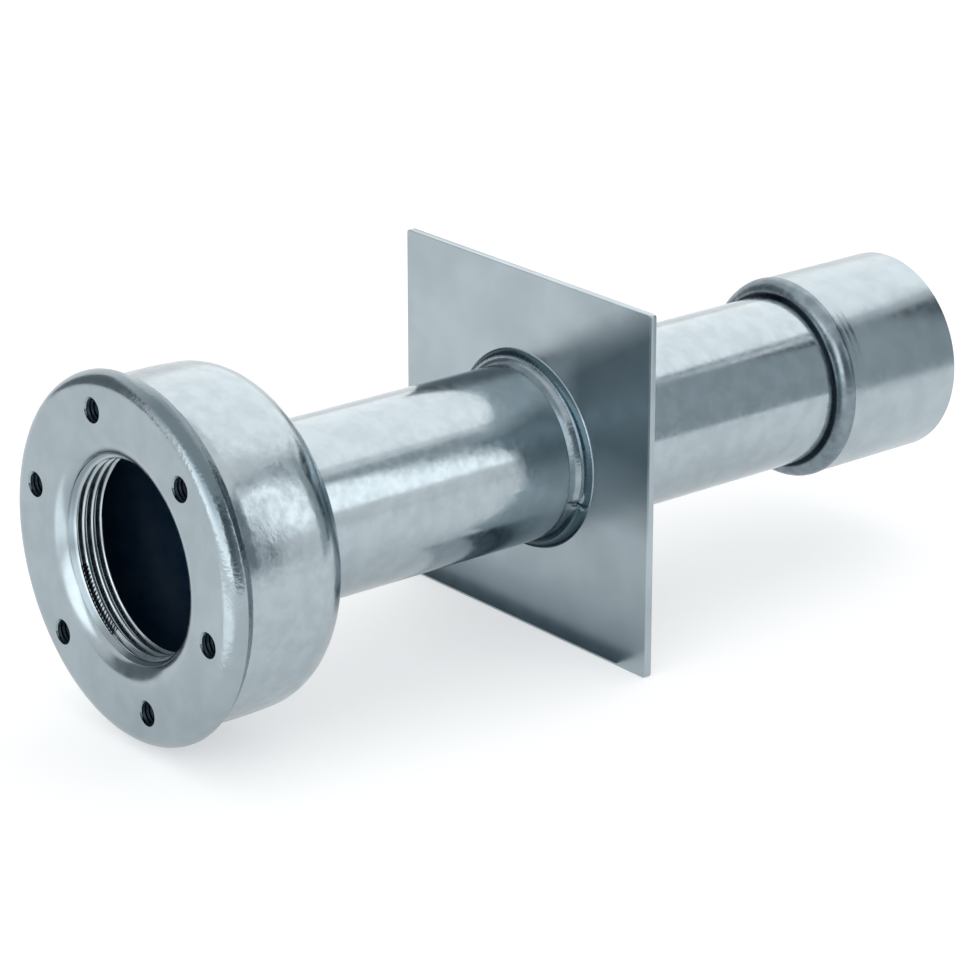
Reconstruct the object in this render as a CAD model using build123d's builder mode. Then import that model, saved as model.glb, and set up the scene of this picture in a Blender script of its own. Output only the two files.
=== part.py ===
from build123d import *
import os
from math import cos, radians, sin, sqrt

os.makedirs("parts", exist_ok=True)

# A welded stainless steel wall sleeve pipe, in millimetres.
# The origin is the centre of the front face. +Y runs along the pipe into the wall, +Z is up.
# Round pieces are turned about the Y axis from a half section, drawn with x as the radius
# and y as the depth behind the front face.

# Parallel pipe threads, 11 turns to the inch
thread_pitch = 2.309
thread_height = 0.640327 * thread_pitch
front_thread_major_d = 47.803
rear_thread_major_d = 41.910
thread_entry_clearance = 0.1

# Overall length, from the flange's face to the socket's open end
total_length = 234.0

# Pipe
pipe_d = 42.4
pipe_wall = 2.0
pipe_inset = 2.0
pipe_edge = 0.3
slip_clearance = 0.05

# Front flange
flange_d = 85.0
flange_thickness = 4.5
rim_front_radius = 3.0
rim_rear_radius = 0.8
lip_radius = 5.4
lip_angle = 53.0
lip_land = 0.3
lip_clearance = 0.3

# Tapped holes in the flange's face, drilled to the thread's core
face_hole_count = 6
face_hole_margin = 8.5
face_hole_core_d = 5.0
face_hole_sink_d = 6.0
face_hole_sink_angle = 90.0
face_hole_first_angle = 45.0

# Threaded bush, seated in a recess behind the lip
bush_wall = 3.6
bush_length = 8.4
bush_inner_edge = 0.8
bush_outer_edge = 0.5

# Drawn cup, which the flange overhangs all round
rim_overhang = 2.5
cup_wall = 2.0
cup_length = 31.8
cup_knuckle_radius = 10.9

# Seam weld between the flange and the cup
seam_bevel_depth = 2.7
seam_bevel_height = 1.2
seam_rim_angle = 45.0
seam_bulge = 0.3

# Square wall plate
plate_side = 88.0
plate_thickness = 2.0
plate_depth = 114.5
plate_corner_radius = 0.8
plate_hole_clearance = 0.15

# Fillet welds
plate_weld_on_pipe = 3.6
plate_weld_on_plate = 3.4
plate_weld_ridge_depth = 1.5
plate_weld_ridge_height = 1.2
rear_weld_leg = 3.0
cup_weld_leg = 3.0
weld_hollow = 0.35

# Rear socket, with its wall measured from the pipe's outside
socket_wall = 3.8
socket_length = 37.5
socket_grip = 15.5
socket_bevel_depth = 2.8
socket_face_width = 1.0
socket_rear_edge = 0.5

# Rounded weld bead over the socket's front bevel
bead_crown = 0.2
bead_round = 3.4
bead_toe_length = 0.35

# Radii and depths that follow from the sizes above
pipe_r = pipe_d / 2
pipe_bore_r = pipe_r - pipe_wall
front_thread_r = front_thread_major_d / 2
front_core_r = front_thread_r - thread_height
rear_thread_r = rear_thread_major_d / 2
rear_core_r = rear_thread_r - thread_height
flange_r = flange_d / 2
lip_r = front_thread_r + lip_clearance
bush_r = front_thread_r + bush_wall
face_hole_circle_r = flange_r - face_hole_margin
lip_centre = (lip_r + lip_radius * sin(radians(lip_angle)), lip_radius)
lip_end = lip_radius * (1 - cos(radians(lip_angle)))
bush_front = lip_end + lip_land
bush_rear = bush_front + bush_length
cup_r = flange_r - rim_overhang
cup_rear = flange_thickness + cup_length
plate_rear = plate_depth + plate_thickness
socket_r = pipe_r + socket_wall
socket_front = total_length - socket_length
pipe_front = cup_rear - cup_wall - pipe_inset
pipe_rear = socket_front + socket_grip

# Front flange: a turned disc with a rounded rim and a wide rolled lip round its bore
with BuildPart() as face_flange:
    with BuildSketch(Plane.XY) as section:
        with BuildLine():
            lip = CenterArc(lip_centre, lip_radius, 270 - lip_angle, lip_angle)
            Polyline(
                lip @ 1,
                (flange_r, 0),
                (flange_r, flange_thickness),
                (bush_r + slip_clearance, flange_thickness),
                (bush_r + slip_clearance, bush_front),
                (lip_r, bush_front),
                lip @ 0,
            )
        make_face()
        fillet(section.vertices().group_by(Axis.Y)[0].sort_by(Axis.X)[-1], rim_front_radius)
        fillet(section.vertices().group_by(Axis.Y)[-1].sort_by(Axis.X)[-1], rim_rear_radius)
    revolve(axis=Axis.Y)
    with Locations(Plane.XZ):
        with PolarLocations(face_hole_circle_r, face_hole_count, start_angle=face_hole_first_angle):
            CounterSinkHole(
                face_hole_core_d / 2,
                face_hole_sink_d / 2,
                flange_thickness,
                face_hole_sink_angle,
            )
face_flange.part.label = "face_flange"
export_step(face_flange.part, "parts/face_flange.step")

# Threaded bush: a short ring, bored to the thread's core, with the thread's lead-in at the front
bush_entry_r = front_thread_r + thread_entry_clearance
with BuildPart() as threaded_bush:
    with BuildSketch(Plane.XY):
        with BuildLine():
            Polyline(
                (bush_entry_r, bush_front),
                (bush_r, bush_front),
                (bush_r, bush_rear - bush_outer_edge),
                (bush_r - bush_outer_edge, bush_rear),
                (front_core_r + bush_inner_edge, bush_rear),
                (front_core_r, bush_rear - bush_inner_edge),
                (front_core_r, bush_front + bush_entry_r - front_core_r),
                close=True,
            )
        make_face()
    revolve(axis=Axis.Y)
threaded_bush.part.label = "threaded_bush"
export_step(threaded_bush.part, "parts/threaded_bush.step")

# Cup: a drawn shell with a full knuckle at the rear and a hole that the pipe passes through
cup_inner_r = cup_r - cup_wall
knuckle_centre = (cup_r - cup_knuckle_radius, cup_rear - cup_knuckle_radius)
with BuildPart() as cup_shell:
    with BuildSketch(Plane.XY):
        with BuildLine():
            CenterArc(knuckle_centre, cup_knuckle_radius, 0, 90)
            CenterArc(knuckle_centre, cup_knuckle_radius - cup_wall, 0, 90)
            Polyline(
                (knuckle_centre[0], cup_rear),
                (pipe_r + slip_clearance, cup_rear),
                (pipe_r + slip_clearance, cup_rear - cup_wall),
                (knuckle_centre[0], cup_rear - cup_wall),
            )
            Polyline(
                (cup_inner_r, knuckle_centre[1]),
                (cup_inner_r, flange_thickness),
                (cup_r - seam_bevel_height, flange_thickness),
                (cup_r, flange_thickness + seam_bevel_depth),
                (cup_r, knuckle_centre[1]),
            )
        make_face()
    revolve(axis=Axis.Y)
cup_shell.part.label = "cup_shell"
export_step(cup_shell.part, "parts/cup_shell.step")

# Seam weld: fills the cup's bevel and laps a little way up the flange's rear rounding
rim_centre = (flange_r - rim_rear_radius, flange_thickness - rim_rear_radius)
seam_on_rim = (
    rim_centre[0] + rim_rear_radius * cos(radians(seam_rim_angle)),
    rim_centre[1] + rim_rear_radius * sin(radians(seam_rim_angle)),
)
with BuildPart() as flange_weld:
    with BuildSketch(Plane.XY):
        with BuildLine():
            CenterArc(rim_centre, rim_rear_radius, seam_rim_angle, 90 - seam_rim_angle)
            SagittaArc(seam_on_rim, (cup_r, flange_thickness + seam_bevel_depth), -seam_bulge)
            Polyline(
                (cup_r, flange_thickness + seam_bevel_depth),
                (cup_r - seam_bevel_height, flange_thickness),
                (rim_centre[0], flange_thickness),
            )
        make_face()
    revolve(axis=Axis.Y)
flange_weld.part.label = "flange_weld"
export_step(flange_weld.part, "parts/flange_weld.step")

# Pipe: a straight tube with its ends just broken
with BuildPart() as pipe:
    with BuildSketch(Plane.XY) as section:
        with Locations((pipe_bore_r, pipe_front)):
            Rectangle(pipe_wall, pipe_rear - pipe_front, align=(Align.MIN, Align.MIN))
        chamfer(section.vertices(), pipe_edge)
    revolve(axis=Axis.Y)
pipe.part.label = "pipe"
export_step(pipe.part, "parts/pipe.step")

# Wall plate: a square sheet, the water stop that is cast into the wall
plate_plane = Plane(origin=(0, plate_depth, 0), x_dir=(1, 0, 0), z_dir=(0, 1, 0))
with BuildPart() as wall_plate:
    with BuildSketch(plate_plane):
        Rectangle(plate_side, plate_side)
        Circle(pipe_r + plate_hole_clearance, mode=Mode.SUBTRACT)
    extrude(amount=plate_thickness)
    corners = wall_plate.edges().filter_by(Axis.Y).filter_by(GeomType.LINE).group_by(SortBy.DISTANCE)[-1]
    fillet(corners, plate_corner_radius)
wall_plate.part.label = "wall_plate"
export_step(wall_plate.part, "parts/wall_plate.step")

# Front plate weld: a hollow fillet in two runs, which meet at a low ridge
with BuildPart() as plate_front_weld:
    with BuildSketch(Plane.XY):
        with BuildLine():
            pipe_toe = (pipe_r, plate_depth - plate_weld_on_pipe)
            ridge = (pipe_r + plate_weld_ridge_height, plate_depth - plate_weld_ridge_depth)
            plate_toe = (pipe_r + plate_weld_on_plate, plate_depth)
            SagittaArc(pipe_toe, ridge, weld_hollow / 2)
            SagittaArc(ridge, plate_toe, weld_hollow)
            Polyline(plate_toe, (pipe_r, plate_depth), pipe_toe)
        make_face()
    revolve(axis=Axis.Y)
plate_front_weld.part.label = "plate_front_weld"
export_step(plate_front_weld.part, "parts/plate_front_weld.step")

# Rear plate weld: a hollow fillet in one run
with BuildPart() as plate_rear_weld:
    with BuildSketch(Plane.XY):
        with BuildLine():
            SagittaArc(
                (pipe_r + rear_weld_leg, plate_rear),
                (pipe_r, plate_rear + rear_weld_leg),
                weld_hollow,
            )
            Polyline(
                (pipe_r, plate_rear + rear_weld_leg),
                (pipe_r, plate_rear),
                (pipe_r + rear_weld_leg, plate_rear),
            )
        make_face()
    revolve(axis=Axis.Y)
plate_rear_weld.part.label = "plate_rear_weld"
export_step(plate_rear_weld.part, "parts/plate_rear_weld.step")

# Cup weld: a hollow fillet between the cup's rear wall and the pipe
with BuildPart() as cup_weld:
    with BuildSketch(Plane.XY):
        with BuildLine():
            SagittaArc((pipe_r + cup_weld_leg, cup_rear), (pipe_r, cup_rear + cup_weld_leg), weld_hollow)
            Polyline(
                (pipe_r, cup_rear + cup_weld_leg),
                (pipe_r, cup_rear),
                (pipe_r + cup_weld_leg, cup_rear),
            )
        make_face()
    revolve(axis=Axis.Y)
cup_weld.part.label = "cup_weld"
export_step(cup_weld.part, "parts/cup_weld.step")

# Rear socket: gripped on the pipe at the front, bored to the thread's core at the rear
socket_bore_r = pipe_r + slip_clearance
socket_face_r = socket_bore_r + socket_face_width
socket_mouth_r = rear_thread_r + thread_entry_clearance
with BuildPart() as rear_socket:
    with BuildSketch(Plane.XY):
        with BuildLine():
            Polyline(
                (socket_bore_r, socket_front),
                (socket_face_r, socket_front),
                (socket_r, socket_front + socket_bevel_depth),
                (socket_r, total_length - socket_rear_edge),
                (socket_r - socket_rear_edge, total_length),
                (socket_mouth_r, total_length),
                (rear_core_r, total_length - (socket_mouth_r - rear_core_r)),
                (rear_core_r, pipe_rear),
                (socket_bore_r, pipe_rear),
                close=True,
            )
        make_face()
    revolve(axis=Axis.Y)
rear_socket.part.label = "rear_socket"
export_step(rear_socket.part, "parts/rear_socket.step")

# Socket weld: a round nose that rolls in to the pipe, then drops to the socket behind the bevel
bead_rear = socket_front + socket_bevel_depth
nose_centre = (socket_r + bead_crown - bead_round, bead_rear - bead_toe_length)
nose_contact = nose_centre[1] - sqrt(bead_round**2 - (nose_centre[0] - pipe_r) ** 2)
with BuildPart() as socket_weld:
    with BuildSketch(Plane.XY):
        with BuildLine():
            ThreePointArc(
                (pipe_r, nose_contact),
                (nose_centre[0], nose_centre[1] - bead_round),
                (nose_centre[0] + bead_round, nose_centre[1]),
            )
            Polyline(
                (nose_centre[0] + bead_round, nose_centre[1]),
                (socket_r, bead_rear),
                (socket_face_r, socket_front),
                (pipe_r, socket_front),
                (pipe_r, nose_contact),
            )
        make_face()
    revolve(axis=Axis.Y)
socket_weld.part.label = "socket_weld"
export_step(socket_weld.part, "parts/socket_weld.step")
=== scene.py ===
import math

import bmesh
import bpy
from bpy.props import FloatProperty, FloatVectorProperty, IntProperty, PointerProperty
from mathutils import Matrix, Vector, noise


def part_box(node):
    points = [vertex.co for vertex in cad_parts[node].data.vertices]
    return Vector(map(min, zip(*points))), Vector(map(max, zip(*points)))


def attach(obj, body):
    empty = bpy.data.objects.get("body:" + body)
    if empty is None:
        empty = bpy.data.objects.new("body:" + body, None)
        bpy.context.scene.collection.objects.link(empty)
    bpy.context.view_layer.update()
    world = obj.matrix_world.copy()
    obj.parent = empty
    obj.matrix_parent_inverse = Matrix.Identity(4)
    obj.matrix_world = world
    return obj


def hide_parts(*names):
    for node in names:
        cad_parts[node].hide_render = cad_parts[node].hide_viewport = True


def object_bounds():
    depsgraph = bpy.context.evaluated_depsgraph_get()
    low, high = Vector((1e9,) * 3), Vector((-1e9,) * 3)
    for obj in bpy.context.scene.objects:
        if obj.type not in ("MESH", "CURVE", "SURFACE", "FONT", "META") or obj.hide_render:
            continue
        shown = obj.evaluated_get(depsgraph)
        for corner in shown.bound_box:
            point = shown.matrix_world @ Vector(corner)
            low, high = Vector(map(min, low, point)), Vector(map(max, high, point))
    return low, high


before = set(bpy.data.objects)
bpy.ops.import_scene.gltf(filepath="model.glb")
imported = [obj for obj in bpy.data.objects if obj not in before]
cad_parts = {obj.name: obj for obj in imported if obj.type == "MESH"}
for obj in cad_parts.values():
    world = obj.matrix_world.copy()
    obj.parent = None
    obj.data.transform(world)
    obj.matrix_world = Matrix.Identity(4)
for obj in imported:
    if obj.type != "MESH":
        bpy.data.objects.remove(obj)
cad_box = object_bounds()

bl_info = {
    "name": "Wall Sleeve Pipe",
    "version": (1, 0, 0),
    "blender": (4, 5, 0),
    "location": "3D View > Sidebar > Wall Sleeve",
    "description": "Makes the visible pieces, finishes and studio of a welded stainless wall sleeve pipe",
    "category": "Object",
}

MM = 0.001
# Copies of one spun sector that make up a turn. Every count of steps is a multiple of it.
SECTORS = 12
# Millimetres within which two places count as one
SAME = 1e-3
# A face counts as square to the axis when its normal's Y is above this
FLAT = 0.99999
# Edges that turn further than this are drawn sharp
SHARP_ANGLE = math.radians(32)

WHITE = (1.0, 1.0, 1.0, 1.0)
BLACK = (0.0, 0.0, 0.0, 1.0)

# Clearances of the solids, in millimetres
SLIP_FIT = 0.05
PLATE_FIT = 0.15
LIP_CLEARANCE = 0.3
THREAD_ENTRY = 0.1

# Walls, bevels and edges of the solids, in millimetres
CUP_WALL = 2.0
SEAM_BEVEL = 1.2
BUSH_EDGE = 0.5
BUSH_INNER_EDGE = 0.3
SOCKET_EDGE = 0.5
SOCKET_FACE = 1.0
PLATE_CORNER = 0.8

# Welds, in millimetres
WELD_HOLLOW = 0.35
RIDGE_HEIGHT = 1.2
RIDGE_DEPTH = 1.5
SEAM_BULGE = 0.3
BEAD_TOE = 0.35

# How far the lip comes in at the bush, which closes the gap before the first groove
LIP_OVERLAP = 0.15
# Share of the lip's radius to which its edge is rounded: the rest stays as a fine line on the face
LIP_SHARE = 0.97
# The cup's wall swells like a barrel: how far behind its front a point lies, and how far inside its widest
CUP_SWELL = (
    (2.7, 0.22), (5.0, 0.15), (7.5, 0.07), (10.0, 0.015), (12.5, 0.0), (15.0, 0.035), (17.5, 0.12), (20.0, 0.25),
)
# How far the wall has drawn in where it would meet the rear, before the knuckle is rounded
CUP_REAR_TAPER = 0.84
# Faint lathe lines round the socket: rear edge, middle and front edge behind the weld, and depth
SOCKET_LINES = ((4.2, 4.0, 3.7, 0.03), (2.5, 2.2, 1.9, 0.035), (1.0, 0.7, 0.4, 0.035))

# Kinds of node with their settings, as add() takes them
MULTIPLY = ("ShaderNodeMath", {"operation": "MULTIPLY"})
MULTIPLY_ADD = ("ShaderNodeMath", {"operation": "MULTIPLY_ADD"})
MAXIMUM = ("ShaderNodeMath", {"operation": "MAXIMUM"})
COMPARE = ("ShaderNodeMath", {"operation": "COMPARE"})

# A satin, as satin() takes it: size of the patches, least and most roughness with their size, and bumps
TURNED = (8.0, (0.2, 0.26, 2.5), [(6.0, 0.004), (1.3, 0.0025)])


def linear(hex_colour):
    """Turns an sRGB hex colour to linear red, green and blue."""
    values = [int(hex_colour[i:i + 2], 16) / 255 for i in (1, 3, 5)]
    return [v / 12.92 if v <= 0.04045 else ((v + 0.055) / 1.055) ** 2.4 for v in values]


def length(name, description, millimetres):
    """A size in the sidebar, in metres as Blender keeps it."""
    return FloatProperty(
        name=name, description=description, default=millimetres * MM,
        unit="LENGTH", subtype="DISTANCE", precision=5,
    )


def colour(name, description, hex_colour):
    """A colour in the sidebar."""
    return FloatVectorProperty(
        name=name, description=description, default=linear(hex_colour),
        subtype="COLOR", min=0.0, max=1.0,
    )


def level(name, description, share):
    """A light level in the sidebar, where 1 is white."""
    return FloatProperty(name=name, description=description, default=share)


class SleeveSizes(bpy.types.PropertyGroup):
    """Sizes of the details that the solids leave plain."""

    lip_reach: length("Lip reach", "How far the rolled lip reaches out over the face", 4.3)
    lip_depth: length("Lip depth", "How far the rolled lip reaches in to the bore", 2.2)
    rim_rounding: length("Rim rounding", "Front edge of the flange's rim", 3.6)
    rim_back_rounding: length("Rear rim rounding", "Rear edge of the flange's rim", 0.8)
    hole_circle: length("Hole circle radius", "Circle of the six tapped holes", 34.0)
    hole_radius: length("Hole radius", "Core of a tapped hole's thread", 2.5)
    hole_sink: length("Hole countersink radius", "Widest part of a tapped hole", 3.0)
    hole_pitch: length("Hole thread pitch", "From turn to turn in a tapped hole", 1.0)
    hole_thread: length("Hole thread depth", "Height of a tapped hole's thread", 0.42)
    pipe_pitch: length("Pipe thread pitch", "From turn to turn, 11 turns to the inch", 2.309)
    pipe_thread: length("Pipe thread depth", "Height of the pipe threads", 1.4785)
    front_core: length("Front thread core radius", "Crest of the thread in the mouth", 22.423)
    rear_core: length("Rear thread core radius", "Crest of the thread in the socket", 19.4765)
    knuckle: length("Cup knuckle radius", "Outside rounding at the cup's rear", 10.9)
    bead_rounding: length("Bead rounding", "Round nose of the socket's weld bead", 3.4)
    sheet_edge: length("Plate edge", "Broken edge round the plate", 0.12)
    ripple: length("Weld ripple spacing", "From ripple to ripple along a weld", 1.0)
    ripple_height: length("Weld ripple height", "Height of one ripple", 0.02)
    hole_count: IntProperty(name="Tapped holes", description="Holes on the circle", default=6)


class SleeveFinish(bpy.types.PropertyGroup):
    """Colours of the steel and the studio."""

    steel: colour("Steel", "Pickled stainless steel", "#B2BEC4")
    steel_dull: colour("Dull steel", "Duller patches of the pickled steel", "#A9B5BB")
    turned: colour("Turned steel", "Turned and pickled flange", "#A5B1B7")
    turned_dull: colour("Dull turned steel", "Duller patches of the flange", "#9EAAB0")
    weld: colour("Weld metal", "Pickled weld metal", "#9CA9B0")
    weld_dull: colour("Dull weld metal", "Duller patches of the weld metal", "#8D9AA2")
    bead: colour("Bead", "Darker patches of the rolled bead", "#7B8890")
    # Painted shade: the tapped holes and the bead's crevice at the pipe take these nearly black colours. The first
    # is also the cutting oil in the thread's chatter marks
    tapped: colour("Tapped hole", "Oil-darkened steel in the tapped holes", "#222C33")
    tapped_dull: colour("Dull tapped hole", "Thicker oil in the tapped holes", "#182127")
    # Painted shade: the nearly black inside of the cup and of the pipe's bore
    scale: colour("Drawing scale", "Dark scale left inside the cup and the pipe", "#0C2840")
    # Painted shade: darkens the thread's entry, the rim's edge above, the plate right of the pipe, the collar
    # weld's hollow, edge and underside, and the seam towards one side
    tint: colour("Heat tint", "Heat-darkened steel at welds, rim and thread", "#43565F")
    floor: colour("Floor", "Pale studio floor", "#D6D8D9")


class StudioSettings(bpy.types.PropertyGroup):
    """Light levels of the studio. A soft box adds its level to the white behind it."""

    dome: level("Dome", "White surround, as it lights matt things", 0.8)
    overhead: level("Overhead", "Large soft box above and behind", 0.4)
    panel: level("Panel", "Small soft box at the back right", 0.68)
    front: level("Front", "Soft box before the flange", 1.1)
    lip_box: level("Lip box", "Low soft box that lifts the rolled lip", 0.6)
    floor_lift: level("Floor lift", "What the camera sees added to the floor", 0.45)
    metal_lift: level("Metal lift", "What the metal sees added to the floor", 0.36)


def millimetres(value):
    """A size from the sidebar, in millimetres."""
    return value / MM


def node_span(name):
    """Outside radius, front depth and rear depth of a turned node, in millimetres."""
    low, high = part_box(name)
    return high.x / MM, low.y / MM, high.y / MM


def off_axis(point):
    """Distance of a point from the pipe's axis."""
    return math.hypot(point.x, point.z)


def set_radius(vert, radius):
    """Moves a vertex to a radius and keeps its angle and depth."""
    scale = radius / off_axis(vert.co)
    vert.co.x *= scale
    vert.co.z *= scale


def verts_of(result):
    """The vertices that a bmesh operator made."""
    return [g for g in result["geom"] if isinstance(g, bmesh.types.BMVert)]


def as_mesh(bm, name):
    """Turns a bmesh into a mesh and frees it."""
    mesh = bpy.data.meshes.new(name)
    bm.to_mesh(mesh)
    bm.free()
    return mesh


def in_scene(name, data):
    """A new object in the scene."""
    item = bpy.data.objects.new(name, data)
    bpy.context.scene.collection.objects.link(item)
    return item


def bevel(bm, edges, size, segments):
    """Rounds edges."""
    bmesh.ops.bevel(
        bm, geom=edges, offset=size, offset_type="OFFSET", segments=segments, profile=0.5,
        affect="EDGES", material=-1, clamp_overlap=False,
    )


def line(bm, points, closed=False):
    """Draws a half section: x is the radius and y the depth."""
    verts = [bm.verts.new((x, y, 0.0)) for x, y in points]
    ends = verts[1:] + verts[:1] if closed else verts[1:]
    edges = [bm.edges.new(pair) for pair in zip(verts, ends)]
    return verts + edges


def bowed(start, end, bow, count):
    """Points from start to end on a shallow curve that stands bow to the left of the chord."""
    a = Vector(start)
    b = Vector(end)
    side = Vector((a.y - b.y, b.x - a.x)).normalized()
    points = []
    for i in range(count + 1):
        t = i / count
        points.append(tuple(a.lerp(b, t) + side * bow * 4 * t * (1 - t)))
    return points


def sweep(bm, geometry, steps, turns, pitch):
    """Turns a half section round the pipe's axis, rising by pitch on each turn.

    The first sector is spun, and the others are copies of it, which is far quicker.
    """
    others = set(bm.verts[:] + bm.edges[:] + bm.faces[:]) - set(geometry)
    bmesh.ops.spin(
        bm, geom=geometry, cent=(0, 0, 0), axis=(0, 1, 0), dvec=(0, pitch / steps, 0),
        angle=math.tau / SECTORS, space=Matrix.Identity(4), steps=steps // SECTORS, use_merge=False,
        use_normal_flip=False, use_duplicate=False,
    )
    sector = [g for g in bm.verts[:] + bm.edges[:] + bm.faces[:] if g not in others]
    for i in range(1, SECTORS * turns):
        verts = verts_of(bmesh.ops.duplicate(bm, geom=sector))
        bmesh.ops.rotate(bm, verts=verts, cent=(0, 0, 0), matrix=Matrix.Rotation(math.tau * i / SECTORS, 3, "Y"))
        bmesh.ops.translate(bm, verts=verts, vec=(0, pitch * i / SECTORS, 0))
    bmesh.ops.remove_doubles(bm, verts=[v for v in bm.verts if v not in others], dist=2 * SAME)


def turn(bm, geometry, steps):
    """Turns a half section once round the pipe's axis."""
    sweep(bm, geometry, steps, turns=1, pitch=0.0)


def at_depth(items, depth):
    """The edges or faces that lie at a depth."""
    return [e for e in items if all(abs(v.co.y - depth) < SAME for v in e.verts)]


def round_ring(bm, radius, depth, size, segments):
    """Rounds one ring edge of a turned shape."""
    ring = [
        e for e in at_depth(bm.edges, depth)
        if all(abs(off_axis(v.co) - radius) < SAME for v in e.verts)
    ]
    bevel(bm, ring, size, segments)


def open_edges(bm, depth):
    """The open edges that lie at a depth."""
    return at_depth([e for e in bm.edges if e.is_boundary], depth)


def fill(bm, depth):
    """Closes the flat face between all open loops at a depth."""
    bmesh.ops.triangle_fill(
        bm, edges=open_edges(bm, depth), use_beauty=True, use_dissolve=False, normal=(0, 1, 0),
    )


def tooth(core, height, pitch, start):
    """One turn of a 55 degree thread with rounded roots and crests, root to root.

    half holds shares of the pitch and of the height, from a root to the next crest.
    """
    half = [
        (0.0, 1.0), (0.0712, 0.969), (0.1218, 0.8846), (0.25, 0.5), (0.3782, 0.1154), (0.4288, 0.031), (0.5, 0.0),
    ]
    whole = half + [(1.0 - t, h) for t, h in reversed(half[:-1])]
    return [(core + height * h, start + pitch * t) for t, h in whole]


def threaded_wall(bm, core, height, pitch, start, end, phase, steps):
    """A right-hand inside thread from start to end, open at both ends. phase is a share of a turn."""
    first = start - pitch * (1.0 + phase)
    turns = math.ceil((end - first) / pitch) + 1
    sweep(bm, line(bm, tooth(core, height, pitch, first)), steps, turns, pitch)
    for depth, clear_front in ((start, True), (end, False)):
        bmesh.ops.bisect_plane(
            bm, geom=bm.verts[:] + bm.edges[:] + bm.faces[:], dist=SAME / 10,
            plane_co=(0, depth, 0), plane_no=(0, 1, 0),
            clear_inner=clear_front, clear_outer=not clear_front,
        )
        for vert in bm.verts:
            if abs(vert.co.y - depth) < 5 * SAME:
                vert.co.y = depth


def widen(bm, limit):
    """Cuts a chamfer into a thread: limit gives the least radius at a depth."""
    for vert in bm.verts:
        least = limit(vert.co.y)
        if off_axis(vert.co) < least:
            set_radius(vert, least)


def finish(name, bm, materials, nodes):
    """Closes, smooths and places a piece, which stands for nodes of the frame."""
    bmesh.ops.remove_doubles(bm, verts=bm.verts, dist=SAME)
    bmesh.ops.recalc_face_normals(bm, faces=bm.faces)
    open_count = sum(not e.is_manifold for e in bm.edges)
    if open_count:
        raise RuntimeError(f"{name} has {open_count} open or crossed edges")
    for face in bm.faces:
        face.smooth = True
    for edge in bm.edges:
        flats = [abs(face.normal.y) > FLAT for face in edge.link_faces]
        edge.smooth = edge.calc_face_angle(0.0) < SHARP_ANGLE and flats[0] == flats[1]
    bmesh.ops.scale(bm, vec=(MM, MM, MM), verts=bm.verts)
    piece = in_scene(name, as_mesh(bm, name))
    for material in materials:
        piece.data.materials.append(material)
    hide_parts(*nodes)
    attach(piece, "root")


def add(tree, kind, settings=None, **links):
    """Adds a node, with its settings and the values or outputs that its inputs take.

    i0 stands for the first input, and another node for its first output.
    """
    node = tree.nodes.new(kind)
    for key, value in (settings or {}).items():
        setattr(node, key, value)
    for key, value in links.items():
        socket = node.inputs[int(key[1:])] if key[0] == "i" and key[1:].isdigit() else node.inputs[key]
        if isinstance(value, bpy.types.Node):
            value = value.outputs[0]
        if isinstance(value, bpy.types.NodeSocket):
            tree.links.new(value, socket)
        else:
            socket.default_value = value
    return node


def new_tree(name, inputs):
    """An empty material with its output and its shader, whose inputs take the values given."""
    material = bpy.data.materials.new(name)
    material.use_nodes = True
    tree = material.node_tree
    tree.nodes.clear()
    shader = add(tree, "ShaderNodeBsdfPrincipled", **inputs)
    add(tree, "ShaderNodeOutputMaterial", Surface=shader.outputs["BSDF"])
    return material, tree, shader


def uneven(tree, place, size, low, high):
    """A soft pattern between low and high, whose patches are size millimetres wide."""
    cloud = add(tree, "ShaderNodeTexNoise", Vector=place, Scale=1.0 / (size * MM), Detail=2.0, Roughness=0.5)
    spread = add(
        tree, "ShaderNodeMapRange", {"interpolation_type": "SMOOTHSTEP"},
        Value=cloud.outputs["Fac"], i1=0.3, i2=0.7, i3=low, i4=high,
    )
    return spread.outputs["Result"]


def radius_of(tree, place):
    """Distance from the pipe's axis."""
    across = add(tree, "ShaderNodeVectorMath", {"operation": "MULTIPLY"}, i0=place, i1=(1.0, 0.0, 1.0))
    return add(tree, "ShaderNodeVectorMath", {"operation": "LENGTH"}, i0=across).outputs["Value"]


def blend(tree, shader, share, first, second):
    """Colours a shader from first to second, as share goes from 0 to 1."""
    shade = add(tree, "ShaderNodeMix", {"data_type": "RGBA"}, i0=share, i6=first, i7=second)
    tree.links.new(shade.outputs[2], shader.inputs["Base Color"])


def darkened(tree, shader, share, colour_value):
    """Blends another colour over a finish's own, by a share from 0 to 1."""
    blend(tree, shader, share, shader.inputs["Base Color"].links[0].from_socket, (*colour_value, 1.0))


def satin(name, first, second, patch, rough, layers):
    """A metal satin in patches of two colours, with its tree, its shader and the piece's coordinates.

    patch is the patches' size, rough the least and most roughness and their size, and each of layers
    the size and depth of a bump, in millimetres.
    """
    material, tree, shader = new_tree(name, {"Metallic": 1.0})
    place = add(tree, "ShaderNodeTexCoord").outputs["Object"]
    blend(tree, shader, uneven(tree, place, patch, 0.0, 1.0), (*first, 1.0), (*second, 1.0))
    low, high, size = rough
    tree.links.new(uneven(tree, place, size, low, high), shader.inputs["Roughness"])
    normal = {}
    for size, depth in layers:
        height = uneven(tree, place, size, 0.0, 1.0)
        bump = add(tree, "ShaderNodeBump", Height=height, Distance=depth * MM, Strength=1.0, **normal)
        normal = {"Normal": bump.outputs["Normal"]}
    tree.links.new(bump.outputs["Normal"], shader.inputs["Normal"])
    return material, tree, shader, place


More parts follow.
